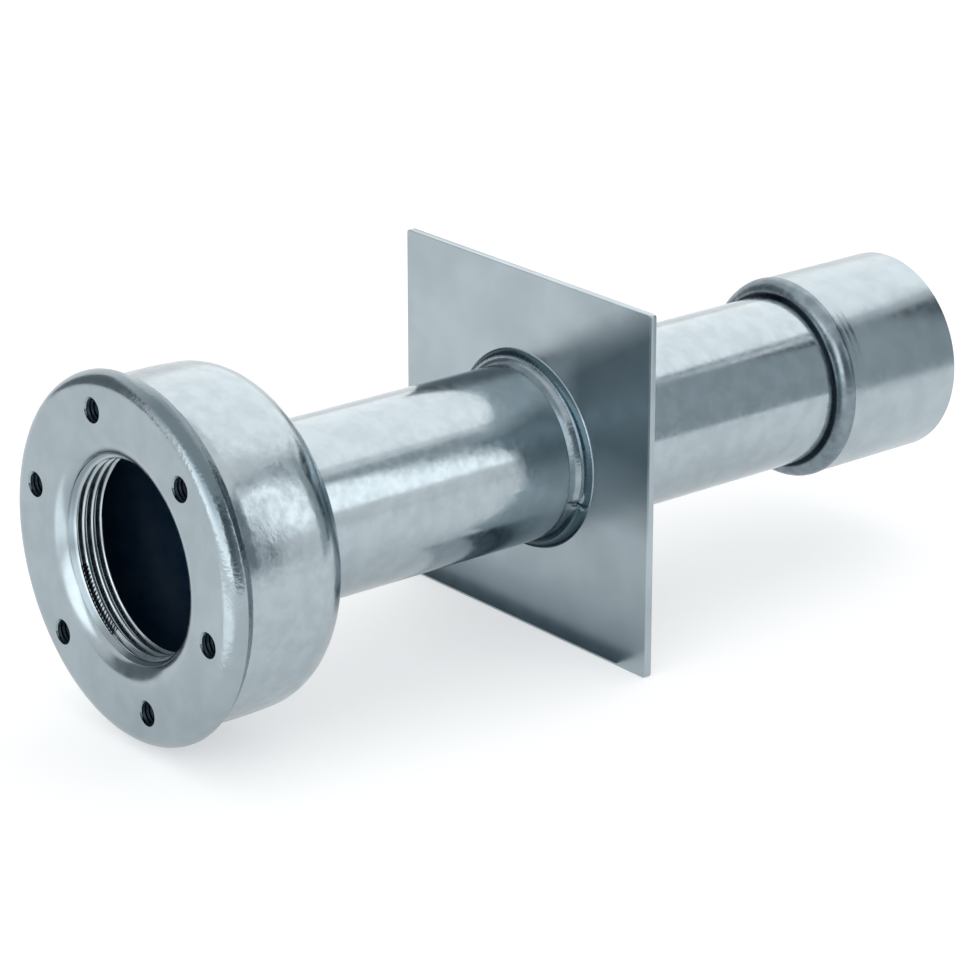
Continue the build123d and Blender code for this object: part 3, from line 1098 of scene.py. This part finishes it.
class WALLSLEEVE_OT_studio(bpy.types.Operator):
    """Makes the floor, the lamps and the camera"""

    bl_idname = "wall_sleeve.studio"
    bl_label = "Studio"

    def execute(self, context):
        scene = context.scene
        studio = scene.sleeve_studio
        white_surround(scene, studio.dome)
        floor = card("studio_floor", 12.0, 12.0)
        floor.data.materials.append(pale_floor(scene.sleeve_finish.floor, studio.floor_lift, studio.metal_lift))
        floor.location = (0.0, 0.0, cad_box[0].z)

        up = Vector((0.0, 0.0, 1.0))
        above = Vector((-0.30, 0.62, 0.70)).normalized()
        place = Vector((-0.458, 0.947, 0.894))
        soft_box("overhead_box", place, place - above, 1.72, 1.45, studio.overhead, "#FFFCF8")

        direction = level_direction(48)
        along = Vector((-direction.y, direction.x, 0.0))
        place = direction * 0.6 - along * 0.03 + up * 0.3
        soft_box("panel_box", place, place - direction, 0.17, 0.35, studio.panel, "#FFFFFF")

        facing = level_direction(161)
        place = facing * 0.9 + up * 0.36
        soft_box("front_box", place, place - facing, 1.25, 0.8, studio.front, "#FFFFFF")
        place = Vector((0.025, -0.1, cad_box[0].z + 0.002))
        soft_box("lip_box", place, place + up, 0.13, 0.09, studio.lip_box, "#FFFFFF")

        # Cards at the back right: distance, how far to the left, height, size and tone
        for name, out, side, middle, width, height, shade in (
            ("frame_flag", 0.62, -0.30, 0.23, 0.37, 0.54, "#8C959B"),
            ("arch_flag", 0.62, -0.20, 0.55, 0.36, 0.10, "#A4ACB1"),
            ("line_flag", 0.62, 0.30, 0.57, 0.64, 0.07, "#B4BBC0"),
            ("rear_flag", 0.42, 0.125, 0.16, 0.155, 0.41, "#AEB6BB"),
            ("dark_flag", 0.42, 0.45, 0.12, 0.49, 0.33, "#4A565E"),
        ):
            place = direction * out + along * side + up * middle
            flag(name, place, place - direction, width, height, shade)
        # Cards at both sides: azimuth, distance, height, size and tone
        for name, azimuth, distance, middle, width, height, shade in (
            ("side_flag", 92.0, 1.0, 0.42, 1.25, 0.93, "#707C84"),
            ("left_flag", -116.0, 0.9, 0.32, 0.8, 0.74, "#747C82"),
        ):
            flag(name, level_direction(azimuth) * distance + up * middle, up * middle, width, height, shade)
        # Strips that lie on the floor before the plate, seen only in the metal: a painted shadow on the floor,
        # which darkens the plate's lower edge. Depth, height and tone
        for name, depth, height, shade in (
            ("near_strip_flag", 0.111, 0.007, "#4A565E"),
            ("far_strip_flag", 0.1015, 0.012, "#AEB5B9"),
        ):
            place = Vector((-0.013, depth, cad_box[0].z + 0.0005))
            flag(name, place, place - up, 0.094, height, shade)

        # The photo's own view, with the camera's place, angles and lens fitted to it
        data = bpy.data.cameras.new("camera")
        data.sensor_width = 36.0
        data.lens = 140.3
        data.clip_start = 0.01
        data.clip_end = 50.0
        camera = in_scene("camera", data)
        azimuth = math.radians(50.81)
        elevation = math.radians(20.46)
        place = Vector((0.6443, -0.4225, 0.3039))
        look = Vector((
            -math.sin(azimuth) * math.cos(elevation),
            math.cos(azimuth) * math.cos(elevation),
            -math.sin(elevation),
        ))
        aim(camera, place, place + look)
        scene.camera = camera
        scene.view_settings.view_transform = "Standard"
        return {"FINISHED"}


class WALLSLEEVE_PT_sidebar(bpy.types.Panel):
    """Lists the sizes, the finishes and the pieces"""

    bl_label = "Wall Sleeve"
    bl_idname = "WALLSLEEVE_PT_sidebar"
    bl_space_type = "VIEW_3D"
    bl_region_type = "UI"
    bl_category = "Wall Sleeve"

    def draw(self, context):
        layout = self.layout
        for group in (context.scene.sleeve_sizes, context.scene.sleeve_finish, context.scene.sleeve_studio):
            box = layout.box()
            for key in group.__annotations__:
                box.prop(group, key)
        for operator in OPERATORS:
            layout.operator(operator.bl_idname)


GROUPS = (SleeveSizes, SleeveFinish, StudioSettings)
OPERATORS = (
    WALLSLEEVE_OT_flange,
    WALLSLEEVE_OT_bush,
    WALLSLEEVE_OT_cup,
    WALLSLEEVE_OT_pipe,
    WALLSLEEVE_OT_plate,
    WALLSLEEVE_OT_socket,
    WALLSLEEVE_OT_fillet_welds,
    WALLSLEEVE_OT_seam_weld,
    WALLSLEEVE_OT_socket_weld,
    WALLSLEEVE_OT_studio,
)
CLASSES = GROUPS + OPERATORS + (WALLSLEEVE_PT_sidebar,)


def register():
    for item in CLASSES:
        bpy.utils.register_class(item)
    bpy.types.Scene.sleeve_sizes = PointerProperty(type=SleeveSizes)
    bpy.types.Scene.sleeve_finish = PointerProperty(type=SleeveFinish)
    bpy.types.Scene.sleeve_studio = PointerProperty(type=StudioSettings)


def unregister():
    del bpy.types.Scene.sleeve_studio
    del bpy.types.Scene.sleeve_finish
    del bpy.types.Scene.sleeve_sizes
    for item in reversed(CLASSES):
        bpy.utils.unregister_class(item)


def main():
    register()
    bpy.ops.wall_sleeve.flange()
    bpy.ops.wall_sleeve.bush()
    bpy.ops.wall_sleeve.cup()
    bpy.ops.wall_sleeve.pipe()
    bpy.ops.wall_sleeve.plate()
    bpy.ops.wall_sleeve.socket()
    bpy.ops.wall_sleeve.fillet_welds()
    bpy.ops.wall_sleeve.seam_weld()
    bpy.ops.wall_sleeve.socket_weld()
    bpy.ops.wall_sleeve.studio()


if __name__ == "__main__":
    main()
